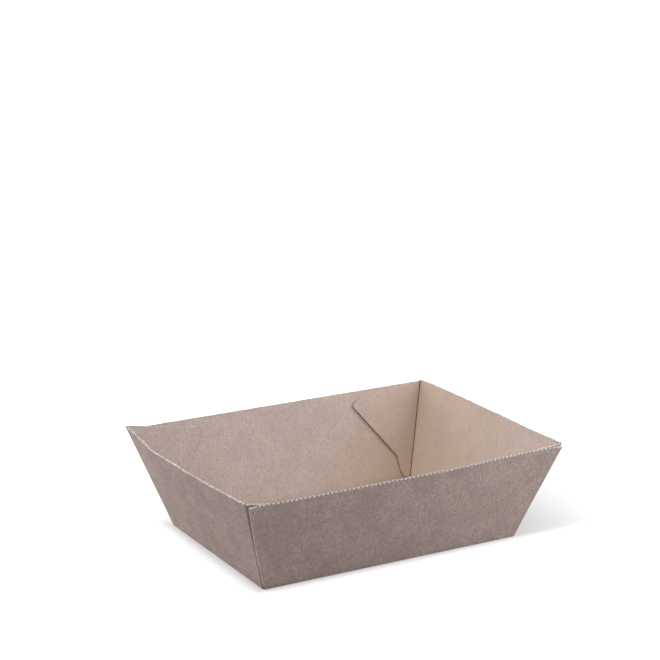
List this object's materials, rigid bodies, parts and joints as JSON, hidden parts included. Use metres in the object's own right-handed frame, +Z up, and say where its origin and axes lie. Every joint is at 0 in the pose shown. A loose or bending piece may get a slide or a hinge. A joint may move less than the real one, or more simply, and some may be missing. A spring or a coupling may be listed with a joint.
{
  "type": "cardboard tray box",
  "caption": "Open tray folded from one blank of thin corrugated board, with leaning walls and glued corner flaps, for holding food or small goods.",
  "frame": {"origin": "centre of the tray's footprint box, on the surface it stands on", "axes": "+X along the tray, +Y across it towards the back long wall, +Z up out of the open top"},
  "size_m": [0.1862, 0.1352, 0.052],
  "materials": {
    "kraft_board": "uncoated brown kraft liner, matte",
    "white_fluting": "white fluting paper seen at the cut edges, matte"
  },
  "bodies": {
    "root": {"tray": "kraft_board"}
  },
  "joints": []
}
